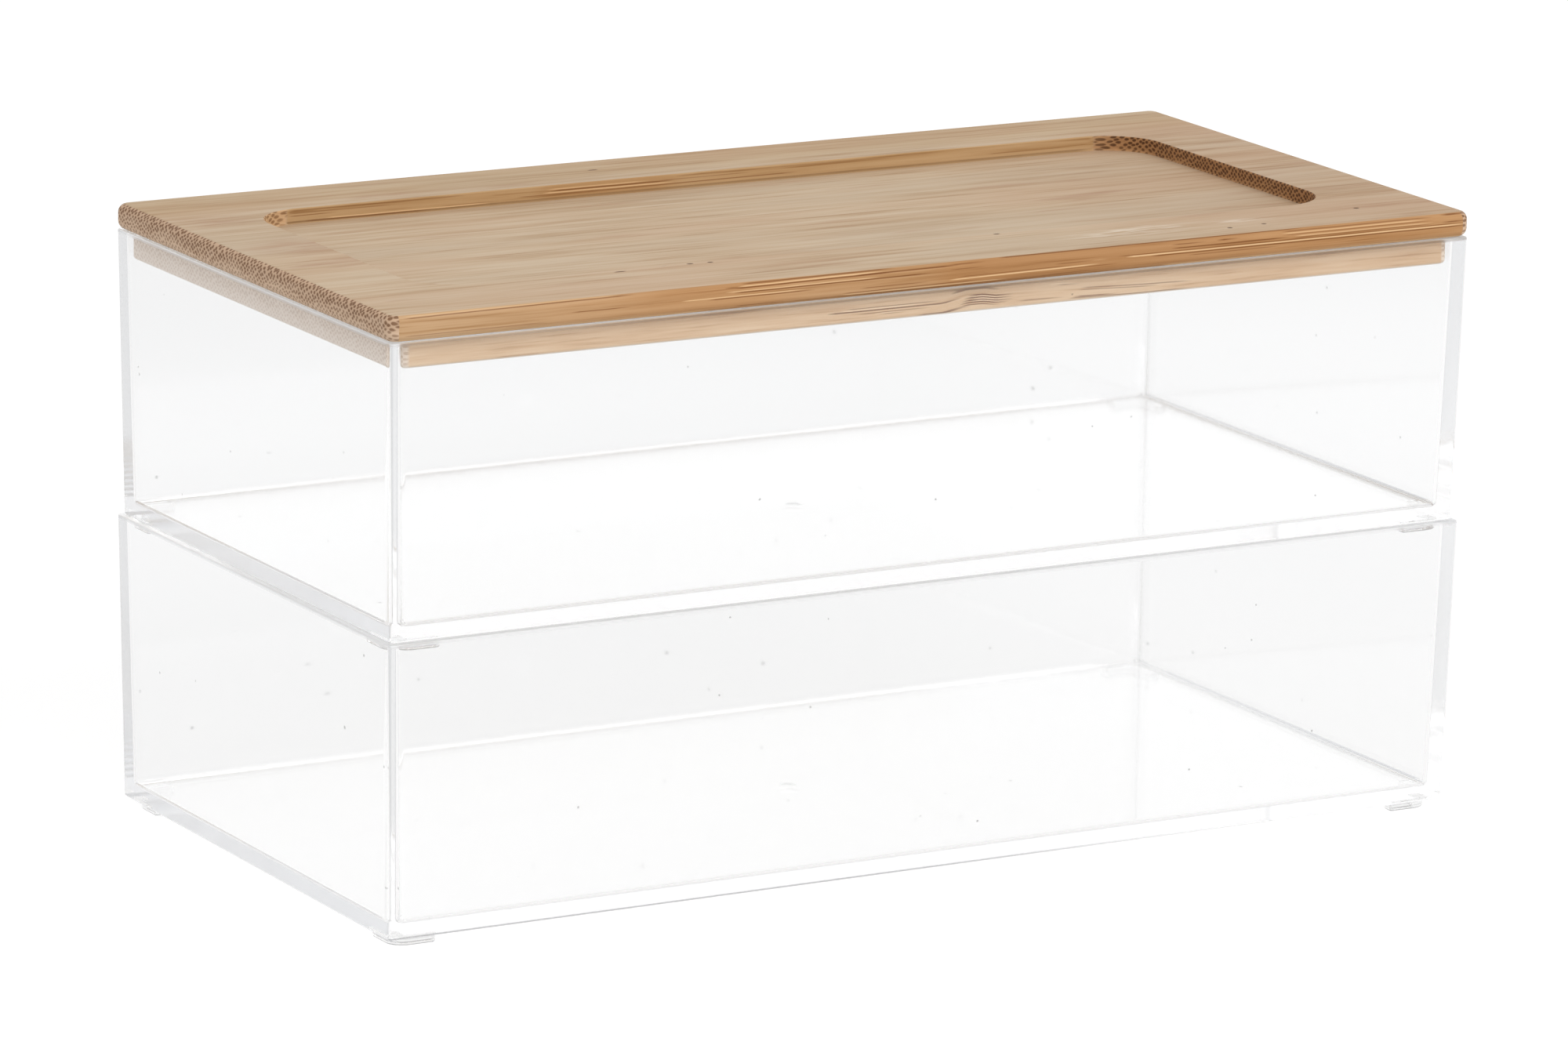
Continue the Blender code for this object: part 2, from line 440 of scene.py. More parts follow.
boardFinish = {
    "face": {
        "Pale": paint(200, 178, 150),
        "Middle": paint(193, 168, 139),
        "Dark": paint(182, 154, 123),
        "Line": paint(160, 129, 98),
        "Line Share": 0.5,
        "Lines Across": 850.0,
        "Lines Along": 18.0,
    },
    "faceGrey": paint(190, 170, 145),
    "faceRose": paint(195, 165, 136),
    # tints are what a colour is multiplied by
    "farTint": (0.9, 0.85, 0.82, 1),  # painted shade: the flat darker at the back and at the right end
    "edge": {
        "Pale": paint(203, 168, 131),
        "Middle": paint(195, 158, 119),
        "Dark": paint(180, 141, 100),
        "Line": paint(148, 106, 65),
        "Line Share": 0.5,
        "Lines Across": 1500.0,
        "Lines Along": 18.0,
    },
    "backTint": (1.0, 1.0, 0.94, 1),
    "edgeFarTint": (0.83, 0.69, 0.535, 1),  # the front edge away from its left end
    "edgeRightTint": (0.925, 0.895, 0.86, 1),
    "trayEdgeTint": (0.88, 0.87, 0.78, 1),
    "trayMiddleTint": (0.893, 0.815, 0.728, 1),
    "end": {"Pale": paint(213, 184, 157), "Dark": paint(200, 168, 140), "Dot": paint(122, 88, 62)},
    "trayLeft": {"Pale": paint(210, 174, 134), "Dark": paint(202, 165, 125), "Dot": paint(144, 108, 74)},
    # painted shade: the tray's right end wall, end grain like the left one, is coloured much darker
    "trayRight": {"Pale": paint(176, 132, 90), "Dark": paint(164, 120, 80), "Dot": paint(78, 48, 26)},
    "cream": paint(230, 192, 146),
    # painted shade: the dark colour at the foot of the tray's back wall
    "burnt": paint(120, 72, 34),
    "foot": paint(140, 108, 72),
    "pit": paint(92, 66, 44),
    "blush": paint(176, 141, 113),
    # painted sheen: the pale colour of patches that stand in for light glancing off the flat
    "sheenColour": paint(234, 223, 207),
    "roughness": 0.6,
    "trayEndSpacing": 0.00062,
    "raggedness": 0.3,  # how far the dots of the cut ends break up their arris
    "toneScale": (7, 36, 1),
    "smearScale": (22, 210, 1),
    "fleckScale": (110, 1500, 1),
    # where each noise starts and stops mixing in its colour, and its least and greatest share
    "greyMix": (0.45, 0.65, 0.0, 0.5),
    "roseMix": (0.5, 0.32, 0.0, 0.6),
    "smearMix": (0.58, 0.72, 0.0, 0.55),
    "blushMix": (0.4, 0.6, 0.3, 0.9),
    "shineMix": (0.46, 0.6, 0.0, 0.5),
    "shineCore": 1.6,
    "pitCore": 2.5,
    "pitDepth": 2.0,
    "flatHeight": 0.1298,
    "markHeight": 0.002,
    # where each part of the board starts and is complete, in metres
    "zones": {
        "rightTrayEnd": (0.088, 0.105),
        "backShade": (0.03, 0.056),
        "rightShade": (0.03, 0.12),
        "backRim": (0.04, 0.052),
        "front": (-0.0608, -0.0616),
        "farFrom": (-0.12, -0.05),
        "rightFrom": (0.0, 0.008),
        "rightTo": (0.078, 0.07),
        "trayLength": (0.1125, 0.1105),
        "trayBack": (0.02, 0.03),
        "trayWall": (0.0425, 0.0421),
        "trayMiddleFrom": (-0.042, -0.034),
        "trayMiddleTo": (-0.002, -0.012),
    },
    # the marked shares of end and edge, from which a face counts as one
    "endTurn": (0.35, 1.1),
    "edgeTurn": (0.3, 0.7),
    # steps in the front edge's tint along X: from, to, change
    "farShare": 0.95,
    "farSteps": [
        ("SUBTRACT", -0.045, -0.03, 0.3),
        ("ADD", -0.008, 0.006, 0.5),
        ("SUBTRACT", 0.068, 0.078, 0.15),
    ],
    # millimetres: height above the stack's foot, slope, from, to, half thickness; then colour and strength
    "frontLines": [
        (129.85, -0.001, -124, -50, 0.17, "burnt", 0.69),
        (129.45, 0.003, -124, -75, 0.16, "cream", 0.43),
        (129.15, 0.006, -124, -72, 0.15, "burnt", 0.69),
        (125.65, 0.003, -124, -92, 0.14, "burnt", 0.46),
        (127.2, 0.0, -87, -73, 0.15, "burnt", 0.69),
        (127.2, 0.0, -70, -68, 0.17, "burnt", 0.8),
        (127.25, 0.0, -62, -33, 0.14, "cream", 0.85),
        (126.95, 0.002, -56, -31, 0.15, "burnt", 0.8),
        (128.95, 0.0, -52, -47, 0.17, "burnt", 0.8),
        (129.05, 0.006, -49, -15, 0.14, "cream", 0.8),
        (128.75, 0.006, -50, -12, 0.17, "burnt", 0.86),
        (129.45, 0.004, -48, -12, 0.15, "burnt", 0.75),
        (128.15, 0.003, -52, -16, 0.13, "cream", 0.75),
        (127.9, 0.003, -50, -4, 0.17, "burnt", 0.86),
        (129.0, 0.003, -22, 3, 0.17, "burnt", 0.9),
        (125.15, 0.0, -50, -37, 0.15, "burnt", 0.57),
        (126.3, 0.0, -21, -4, 0.14, "burnt", 0.63),
        (125.55, 0.004, -25, 8, 0.14, "burnt", 0.69),
        (125.25, 0.001, -25, 14, 0.14, "cream", 0.75),
        (124.95, 0.0, -20, 14, 0.14, "burnt", 0.63),
        (129.2, 0.0, 0, 9, 0.14, "burnt", 0.63),
        (128.3, 0.0, 0, 9, 0.14, "burnt", 0.57),
        (129.6, 0.001, 12, 86, 0.15, "burnt", 0.75),
        (126.2, 0.009, 0, 36, 0.17, "cream", 0.9),
        (126.65, 0.005, 2, 30, 0.13, "burnt", 0.57),
        (126.15, 0.003, 26, 41, 0.14, "burnt", 0.57),
        (127.35, 0.0, 25, 34, 0.15, "burnt", 0.57),
        (127.35, 0.0, 34, 38, 0.14, "cream", 0.47),
        (127.35, 0.0, 42, 126, 0.19, "cream", 0.9),
        (127.02, 0.0005, 48, 126, 0.17, "burnt", 0.86),
        (127.65, 0.0, 40, 126, 0.14, "burnt", 0.63),
        (128.9, 0.0, 53, 62, 0.15, "burnt", 0.69),
        (128.95, 0.0, 64, 70, 0.19, "burnt", 0.9),
        (128.2, -0.002, 53, 82, 0.17, "burnt", 0.86),
        (126.5, 0.0, 57, 80, 0.15, "burnt", 0.52),
        (128.25, 0.0, 83, 118, 0.16, "cream", 0.57),
        (127.95, 0.0, 83, 118, 0.14, "burnt", 0.57),
        (128.95, 0.0, 80, 116, 0.16, "cream", 0.57),
        (128.65, 0.0, 80, 118, 0.14, "burnt", 0.52),
        (129.3, 0.0, 80, 118, 0.17, "burnt", 0.57),
        (129.5, 0.0, 119.5, 127, 0.21, "burnt", 0.8),
        (128.1, 0.0, 119.5, 127, 0.21, "burnt", 0.69),
        # painted highlight: a light line along the board's lower arris, drawn like a fibre
        (124.75, 0.0, 51, 127, 0.22, "cream", 0.6),
        (124.75, 0.0, -127, -55, 0.22, "cream", 0.6),
    ],
    # the same on the tray's back wall; the first three lines are painted shade along its foot, where it meets
    # the tray floor
    "trayLines": [
        (126.9, 0.0, -103, -48, 0.3, "foot", 0.9),
        (126.9, 0.0, -52, 98, 0.36, "foot", 0.75),
        (126.95, 0.0, -94, -64, 0.2, "burnt", 0.6),
        (127.25, 0.0, -89, -50, 0.16, "cream", 0.75),
        (127.45, 0.0, -62, -48, 0.15, "burnt", 0.35),
        (128.2, 0.003, -98, -86, 0.15, "burnt", 0.6),
        (128.75, 0.002, -98, -72, 0.15, "burnt", 0.45),
        (129.35, 0.0, -98, -56, 0.16, "burnt", 0.45),
        (128.55, -0.001, -36, -6, 0.22, "burnt", 0.75),
        (128.9, -0.001, -37, -12, 0.18, "cream", 0.6),
        (128.2, -0.002, -38, -6, 0.18, "cream", 0.75),
        (127.85, -0.002, -44, -24, 0.15, "burnt", 0.5),
        (127.75, 0.002, -28, 24, 0.18, "burnt", 0.6),
        (128.7, 0.0, -10, 13, 0.18, "burnt", 0.4),
        (127.9, 0.0, 71, 93, 0.16, "burnt", 0.35),
        (129.3, 0.0, -6, 60, 0.2, "burnt", 0.2),
    ],
    # centre and half size on the flat of the board
    "pits": [
        (-0.1032, -0.0267, 0.0010, 0.0005),
        (-0.0541, -0.0416, 0.0012, 0.0006),
        (-0.0484, -0.0425, 0.0009, 0.0005),
        (-0.0439, -0.0428, 0.0008, 0.0005),
        (-0.0650, -0.0435, 0.0016, 0.0004),
        (0.0238, -0.0423, 0.0009, 0.0005),
        (0.0714, -0.0570, 0.0007, 0.0006),
        (0.0801, -0.0564, 0.0007, 0.0005),
        (0.1068, -0.0504, 0.0008, 0.0006),
        (-0.0199, 0.0529, 0.0014, 0.0004),
    ],
    "blushes": [(-0.112, 0.006, 0.016, 0.011), (-0.104, -0.010, 0.02, 0.006), (-0.117, 0.036, 0.011, 0.007)],
    # painted sheen: centre and half size of patches where the flat is painted paler, as if it shone
    "sheenPatches": [
        (0.052, -0.0515, 0.020, 0.005),
        (0.0225, -0.0365, 0.014, 0.003),
        (0.075, -0.0515, 0.012, 0.002),
    ],
}


def ovals(tree, place, look, name):
    mask = None
    for x, y, halfLength, halfWidth in look[name]:
        centre = (x, y, look["flatHeight"])
        inputs = {"Vector": place, "Centre": centre, "Size": (halfLength, halfWidth, look["markHeight"])}
        one = useGroup(tree, softOval, inputs)["Mask"]
        mask = one if mask is None else larger(tree, mask, one)
    return mask


woodSurface = {
    "relief": 0.3,
    "reliefDepth": 0.00015,
    "streakTurn": (0.35, 0.65),
    "duller": 0.1,
    "shinier": 0.05,
    "specular": 0.15,
}


# The fibres' height becomes a fine relief, and pale streaks are a little shinier than dark ones.
def finishWood(tree, shader, colour, height, streak, roughness):
    surface = woodSurface
    inputs = {"Height": height, "Strength": surface["relief"], "Distance": surface["reliefDepth"]}
    bump = put(tree, "ShaderNodeBump", inputs).outputs[0]
    dull, shiny = roughness + surface["duller"], roughness - surface["shinier"]
    rough = between(tree, streak, *surface["streakTurn"], dull, shiny)
    feed(tree, shader, {
        "Base Color": colour, "Normal": bump, "Roughness": rough, "Specular IOR Level": surface["specular"],
    })


def makeBoardBamboo(look):
    material, tree, shader, place = newMaterial("bambooBoard")
    zones = look["zones"]
    face = useGroup(tree, fibres, {"Vector": place, **look["face"]})
    edge = useGroup(tree, fibres, {"Vector": place, **look["edge"]})
    end = useGroup(tree, pores, {"Vector": place, **look["end"]})
    x, y, z = splitAxes(tree, place)
    # painted shade: the tray's cut ends turn darker towards its right end wall
    rightward = between(tree, x, *zones["rightTrayEnd"])
    trayEnd = {"Vector": place, "Spacing": look["trayEndSpacing"]}
    for name, colour in look["trayLeft"].items():
        trayEnd[name] = blendColours(tree, rightward, colour, look["trayRight"][name])
    trayEnd = useGroup(tree, pores, trayEnd)

    # the cut ends break up the arris towards the flat
    endMask = attribute(tree, "endGrain")
    ragged = minus(tree, endMask, times(tree, end["Height"], look["raggedness"]))
    endMask = between(tree, plus(tree, endMask, ragged), *look["endTurn"])
    edgeMask = attribute(tree, "edgeGrain")
    edgeMask = between(tree, edgeMask, *look["edgeTurn"])

    # the flat: greyer and pinker bands, short smears, patches of painted sheen, pits, and painted shade
    # towards the back and the right end
    tone = noise(tree, stretched(tree, place, look["toneScale"]), distortion=0.4)
    flat = blendColours(tree, between(tree, tone, *look["greyMix"]), face["Color"], look["faceGrey"])
    flat = blendColours(tree, between(tree, tone, *look["roseMix"]), flat, look["faceRose"])
    smears = noise(tree, stretched(tree, place, look["smearScale"]), roughness=0.55, distortion=0.3)
    flat = blendColours(tree, between(tree, smears, *look["smearMix"]), flat, look["blush"])
    flecks = noise(tree, stretched(tree, place, look["fleckScale"]), detail=2.0)
    smear = ovals(tree, place, look, "blushes")
    smear = times(tree, smear, between(tree, flecks, *look["blushMix"]))
    flat = blendColours(tree, smear, flat, look["blush"])
    # painted sheen: pale patches on the flat
    shine = times(tree, ovals(tree, place, look, "sheenPatches"), look["shineCore"], True)
    shine = times(tree, shine, between(tree, flecks, *look["shineMix"]))
    flat = blendColours(tree, shine, flat, look["sheenColour"])
    pits = times(tree, ovals(tree, place, look, "pits"), look["pitCore"], True)
    flat = blendColours(tree, pits, flat, look["pit"])
    # painted shade: the flat is darkened towards the back and the right end
    shaded = larger(tree, between(tree, y, *zones["backShade"]), between(tree, x, *zones["rightShade"]))
    flat = blendColours(tree, shaded, flat, look["farTint"], "MULTIPLY")
    flat = blendColours(tree, between(tree, y, *zones["backRim"]), flat, look["backTint"], "MULTIPLY")

    # the long edges: single dark and cream fibres on the front one and on the tray's back wall, a painted
    # highlight along the front one's lower arris and painted shade along the back wall's foot
    front = between(tree, y, *zones["front"])
    far = times(tree, between(tree, x, *zones["farFrom"]), look["farShare"])
    for operation, start, stop, change in look["farSteps"]:
        far = maths(tree, operation, far, between(tree, x, start, stop, 0.0, change))
    tint = blendColours(tree, times(tree, far, front), (1, 1, 1, 1), look["edgeFarTint"])
    lined = blendColours(tree, 1.0, edge["Color"], tint, "MULTIPLY")
    right = maskOf(tree, (x, zones["rightFrom"]), (x, zones["rightTo"]))
    lined = blendColours(tree, times(tree, right, front), lined, look["edgeRightTint"], "MULTIPLY")
    lined = drawFibres(tree, lined, x, z, look["frontLines"], look, front)
    inTray = between(tree, maths(tree, "ABSOLUTE", x), *zones["trayLength"])
    backWall = times(tree, inTray, between(tree, y, *zones["trayBack"]))
    backWall = times(tree, backWall, between(tree, y, *zones["trayWall"]))
    lined = blendColours(tree, backWall, lined, look["trayEdgeTint"], "MULTIPLY")
    middle = maskOf(tree, (x, zones["trayMiddleFrom"]), (x, zones["trayMiddleTo"]))
    middle = times(tree, middle, backWall)
    lined = blendColours(tree, middle, lined, look["trayMiddleTint"], "MULTIPLY")
    lined = drawFibres(tree, lined, x, z, look["trayLines"], look, backWall)

    cut = blendColours(tree, inTray, end["Color"], trayEnd["Color"])
    colour = blendColours(tree, edgeMask, flat, lined)
    colour = blendColours(tree, endMask, colour, cut)
    height = blendValues(tree, endMask, face["Height"], end["Height"])
    height = minus(tree, height, times(tree, pits, look["pitDepth"]))
    finishWood(tree, shader, colour, height, face["Streak"], look["roughness"])
    return material


plugFinish = {
    "side": {
        "Pale": paint(222, 194, 162),
        "Middle": paint(215, 183, 148),
        "Dark": paint(204, 169, 133),
        "Line": paint(180, 140, 102),
        "Line Share": 0.6,
        "Lines Across": 1500.0,
        "Lines Along": 26.0,
    },
    "end": {
        "Pale": paint(232, 216, 200),
        "Dark": paint(226, 208, 190),
        "Dot": paint(196, 170, 146),
        "Middle Height": 0.1215,
    },
    "burnt": paint(116, 74, 42),
    "cream": paint(238, 212, 182),
    # painted light: the plug's underside is pale, standing in for light bouncing up from the floor
    "under": paint(240, 229, 214),
    "farTint": (0.955, 0.925, 0.89, 1),
    "roughness": 0.65,
    # where each part starts and is complete, in metres
    "frontZone": (-0.0585, -0.0592),
    "farZone": (0.02, 0.09),
    "underZone": (0.119, 0.1186),
    # steps of the fibres' height: from, to (millimetres along X) and rise (millimetres)
    "swings": [(-1, 7, 1.0), (9, 13.5, -0.5), (20, 50, -0.5)],
    # millimetres: height before the swing, slope, from, to, half thickness; then colour and strength
    "lines": [
        (120.95, -0.002, -27, 5, 0.2, "burnt", 0.88),
        (121.5, 0.0, -23, 0, 0.16, "burnt", 0.56),
        (121.25, 0.0, -24, -4, 0.18, "cream", 0.7),
        (120.35, 0.0, -20, -2, 0.16, "burnt", 0.5),
        (120.0, 0.0, -15, -8, 0.16, "burnt", 0.56),
        (120.15, 0.0, -16, -8, 0.16, "cream", 0.6),
        (120.95, 0.0, 6, 17, 0.2, "burnt", 0.94),
        (120.45, 0.0, 5, 17, 0.2, "burnt", 0.94),
        (119.95, 0.0, 4.5, 17, 0.2, "burnt", 0.94),
        (119.5, 0.0, 4, 16, 0.2, "burnt", 0.88),
        (119.05, 0.0, 4, 14, 0.18, "burnt", 0.81),
        (120.7, 0.0, 7, 16, 0.16, "cream", 0.6),
        (120.2, 0.0, 7, 16, 0.16, "cream", 0.6),
        (119.75, 0.0, 7, 16, 0.16, "cream", 0.6),
        (122.35, 0.0, 2, 14, 0.28, "burnt", 0.94),
        (118.95, 0.0, -6, 6, 0.2, "burnt", 0.81),
        (118.75, 0.0, -2, 7, 0.16, "burnt", 0.81),
        (122.2, 0.0, 25, 32, 0.2, "cream", 0.6),
        (121.9, 0.0, 27, 33, 0.16, "burnt", 0.56),
        (121.0, -0.02, 33, 60, 0.18, "burnt", 0.62),
        (120.6, -0.02, 32, 52, 0.16, "burnt", 0.56),
        (119.3, 0.0, 18, 29, 0.18, "burnt", 0.56),
        (119.2, 0.0, 31, 42, 0.2, "burnt", 0.75),
        (118.95, 0.0, 30, 60, 0.18, "burnt", 0.62),
    ],
}


# The second ply is paler. Round its knot the fibres swing up and back, as smooth steps along X.
def makePlugBamboo(look):
    material, tree, shader, place = newMaterial("bambooPlug")
    x, y, z = splitAxes(tree, place)
    bent = z
    for start, stop, rise in look["swings"]:
        bent = minus(tree, bent, between(tree, x, start / 1000, stop / 1000, 0.0, rise / 1000))
    swung = put(tree, "ShaderNodeCombineXYZ", {"X": x, "Y": y, "Z": bent}).outputs[0]
    side = useGroup(tree, fibres, {"Vector": swung, **look["side"]})
    front = between(tree, y, *look["frontZone"])
    far = between(tree, x, *look["farZone"])
    colour = blendColours(tree, far, side["Color"], look["farTint"], "MULTIPLY")
    colour = drawFibres(tree, colour, x, bent, look["lines"], look, front)
    end = useGroup(tree, pores, {"Vector": place, **look["end"]})
    endMask = attribute(tree, "endGrain")
    colour = blendColours(tree, endMask, colour, end["Color"])
    # painted light: the plug's underside is paler
    colour = blendColours(tree, between(tree, z, *look["underZone"]), colour, look["under"])
    finishWood(tree, shader, colour, side["Height"], side["Streak"], look["roughness"])
    return material


# how steep a face is where its flat grain stops, and how far it has to face along X to show cut ends
grainTurns = {"steepFrom": 0.02, "steepWidth": 0.08, "endFrom": 0.12, "endWidth": 0.2}


# Marks where a board shows cut ends (facing along X) and edges (facing along Y).
def markGrain(mesh):
    turns = grainTurns
    normals = np.empty(len(mesh.vertices) * 3, np.float32)
    mesh.vertex_normals.foreach_get("vector", normals)
    normals = np.abs(normals.reshape(-1, 3))
    steep = np.clip((1 - normals[:, 2] - turns["steepFrom"]) / turns["steepWidth"], 0, 1)
    level = np.maximum(np.hypot(normals[:, 0], normals[:, 1]), 1e-6)
    towardsEnd = np.clip((normals[:, 0] / level - turns["endFrom"]) / turns["endWidth"], 0, 1)
    for name, values in (("endGrain", steep * towardsEnd), ("edgeGrain", steep * (1 - towardsEnd))):
        layer = mesh.attributes.new(name, "FLOAT", "POINT")
        layer.data.foreach_set("value", values.astype(np.float32))


topBoard = {
    "cornerRadius": 0.0028,
    "edgeRadius": 0.0018,
    "trayEndBorder": 0.0197,
    "traySideBorder": 0.022,
    "trayDepth": 0.0032,
    "trayCornerRadius": 0.012,
    "trayArris": 0.0003,
    "trayFillet": 0.0004,
    "cornerSteps": 24,
    "edgeSteps": 10,
    "traySteps": 4,
}


# The side of a board with its rounded edges: each quarter arc is its radius times (1 - cosine, sine) of
# an angle, drawn in from an outline.
def roundedSide(low, high, below, above, steps):
    arc = quarterArc(-quarterTurn, steps)
    upArc = quarterArc(0, steps)
    inset = np.concatenate([below * (1 - np.cos(arc)), above * (1 - np.cos(upArc))])
    z = np.concatenate([low.z + below * (1 + np.sin(arc)), high.z - above * (1 - np.sin(upArc))])
    return inset, z


# The profile runs from the underside over the rounded edge and the rim down into the tray, whose arcs are
# worked out in the same way.
def makeTopBoard(material):
    low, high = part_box("lid_top_board")
    part = topBoard
    smallArc = quarterArc(-quarterTurn, part["traySteps"])[::-1]
    mouthArc = quarterArc(quarterTurn, part["traySteps"])
    edge, arris, fillet = part["edgeRadius"], part["trayArris"], part["trayFillet"]
    inset, z = roundedSide(low, high, edge, edge, part["edgeSteps"])
    halfLength = high.x - inset
    halfWidth = high.y - inset
    radius = part["cornerRadius"] - inset
    trayLength, trayWidth = high.x - part["trayEndBorder"], high.y - part["traySideBorder"]
    floor = high.z - part["trayDepth"]
    trayInset = np.concatenate([-arris * (1 + np.cos(mouthArc)), fillet * (1 - np.cos(smallArc))])
    trayZ = np.concatenate([high.z - arris * (1 - np.sin(mouthArc)), floor + fillet * (1 + np.sin(smallArc))])
    halfLength = np.concatenate([halfLength, trayLength - trayInset])
    halfWidth = np.concatenate([halfWidth, trayWidth - trayInset])
    radius = np.concatenate([radius, part["trayCornerRadius"] - trayInset])
    x, y = outlineRows(halfLength, halfWidth, radius, part["cornerSteps"])
    mesh = skinMesh("topBoard", x, y, np.concatenate([z, trayZ]))
    markGrain(mesh)
    piece = addPiece("topBoard", mesh, material)
    smoothShade(piece)
    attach(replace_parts(piece, "lid_top_board"), "lid")


plugBoard = {"cornerRadius": 0.0025, "edgeRadius": 0.0008, "arris": 0.0002, "cornerSteps": 16, "edgeSteps": 6}


# The same profile with a small radius below and a broken edge above.
def makePlugBoard(material):
    low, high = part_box("lid_plug_board")
    part = plugBoard
    inset, z = roundedSide(low, high, part["edgeRadius"], part["arris"], part["edgeSteps"])
    x, y = outlineRows(high.x - inset, high.y - inset, part["cornerRadius"] - inset, part["cornerSteps"])
    mesh = skinMesh("plugBoard", x, y, z)
    markGrain(mesh)
    piece = addPiece("plugBoard", mesh, material)
    smoothShade(piece)
    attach(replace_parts(piece, "lid_plug_board"), "lid")


makeTopBoard(makeBoardBamboo(boardFinish))
makePlugBoard(makePlugBamboo(plugFinish))
print("lid made")

clearBox = {
    "wall": 0.0026,
    "draft": 0.001,
    "floor": 0.0028,
    "outerCorner": 0.0009,
    "innerRimCorner": 0.0011,
    "innerFloorCorner": 0.002,
    "rimRaise": 0.00022,  # closes most of the 0.3 mm that the CAD keeps between two pieces
    "rimRounding": 0.0003,
    "baseRounding": 0.0005,
    "floorFillet": 0.0012,
    "cornerSteps": 20,
    "arcSteps": 8,
}

foot = {
    "height": 0.002,
    "inset": 0.002,
    "reach": 0.0097,
    "arm": 0.003,
    "corner": 0.0038,
    "crook": 0.001,
    "end": 0.0008,
    "rounding": 0.0003,
    "root": 0.0008,
    "cornerSteps": 8,
    "roundingSteps": 4,
}

gate = {"width": 0.0038, "depth": 0.0002, "rings": 48, "columns": 64}


# The profile goes from the underside up the outside, over the rim and down the inside to the floor.
# Each arc is a radius times (cosine, sine), and the corner radius follows the inset.
def makeShell(halfLength, halfWidth, height):
    part = clearBox
    steps = part["arcSteps"]
    base, rim, fillet = part["baseRounding"], part["rimRounding"], part["floorFillet"]
    arc = quarterArc(-quarterTurn, steps)
    drawnIn = base * (1 - np.cos(arc))
    rows = [(part["draft"] + drawnIn, base * (1 + np.sin(arc)), part["outerCorner"] - drawnIn)]
    arc = quarterArc(0, steps)
    drawnIn = rim * (1 - np.cos(arc))
    rows.append((drawnIn, height - rim * (1 - np.sin(arc)), part["outerCorner"] - drawnIn))
    arc = quarterArc(quarterTurn, steps)
    drawnOut = rim * (1 + np.cos(arc))
    rows.append((
        part["wall"] - drawnOut,
        height - rim * (1 - np.sin(arc)),
        part["innerRimCorner"] + drawnOut,
    ))
    arc = quarterArc(2 * quarterTurn, steps)
    drawnIn = fillet * (1 + np.cos(arc))
    rows.append((
        part["draft"] + part["wall"] + drawnIn,
        part["floor"] + fillet * (1 + np.sin(arc)),
        part["innerFloorCorner"] - drawnIn,
    ))
    inset, z, radius = (np.concatenate(values) for values in zip(*rows))
    x, y = outlineRows(halfLength - inset, halfWidth - inset, radius, part["cornerSteps"])
    return skinMesh("shell", x, y, z)


# An L seen from below: straight arms with an arc at each of its six corners. A point of an arc is its
# centre plus the radius times (sine times the way in minus cosine times the way out).
def footOutline(x, y, drawnIn):
    reach, arm = foot["reach"] - 2 * drawnIn, foot["arm"] - 2 * drawnIn
    x, y, end = x - drawnIn, y - drawnIn, foot["end"] - drawnIn
    corners = np.array([
        (x, y), (x - reach, y), (x - reach, y - arm),
        (x - arm, y - arm), (x - arm, y - reach), (x, y - reach),
    ])
    radii = np.array([foot["corner"] - drawnIn, end, end, foot["crook"] + drawnIn, end, end])[:, None]
    into = corners - np.roll(corners, 1, axis=0)
    out = np.roll(corners, -1, axis=0) - corners
    into /= np.linalg.norm(into, axis=1, keepdims=True)
    out /= np.linalg.norm(out, axis=1, keepdims=True)
    centres = corners - radii * into + radii * out
    angle = quarterArc(0, foot["cornerSteps"])[None, :, None]
    turned = np.sin(angle) * into[:, None] - np.cos(angle) * out[:, None]
    points = centres[:, None] + radii[:, None] * turned
    return points.reshape(-1, 2)


def makeFoot(x, y):
    arc = quarterArc(-quarterTurn, foot["roundingSteps"])
    drawnIn = np.append(foot["rounding"] * (1 - np.cos(arc)), 0)
    z = np.append(foot["rounding"] * (1 + np.sin(arc)) - foot["height"], foot["root"])
    outlines = np.stack([footOutline(x, y, inset) for inset in drawnIn])
    return outlines, z


# All four feet as one mesh: the same rows mirrored, with the order turned round on two of them.
def makeFeet(halfLength, halfWidth):
    x = halfLength - clearBox["draft"] - foot["inset"]
    y = halfWidth - clearBox["draft"] - foot["inset"]
    outlines, z = makeFoot(x, y)
    points, faces = [], []
    for side, end in ((1, 1), (-1, 1), (-1, -1), (1, -1)):
        rows = outlines * (side, end)
        if side * end < 0:
            rows = rows[:, ::-1]
        one = skinMesh("foot", rows[..., 0], rows[..., 1], z)
        faces += [[corner + len(points) for corner in face.vertices] for face in one.polygons]
        points += [vertex.co.copy() for vertex in one.vertices]
        bpy.data.meshes.remove(one)
    mesh = bpy.data.meshes.new("feet")
    mesh.from_pydata(points, [], faces)
    return mesh


# A ball whose cap cuts a dimple of the gate's width and depth: radius = (w^2 / 4 + d^2) / 2d.
def makeGateBall():
    radius = (gate["width"] ** 2 / 4 + gate["depth"] ** 2) / (2 * gate["depth"])
    down = np.linspace(0, math.pi, gate["rings"] + 2)[1:-1]
    around = np.linspace(0, 2 * math.pi, gate["columns"] + 1)[:-1]
    ring = radius * np.sin(down)[:, None]
    z = clearBox["floor"] - gate["depth"] + radius - radius * np.cos(down)
    return skinMesh("gateBall", ring * np.cos(around), ring * np.sin(around), z)


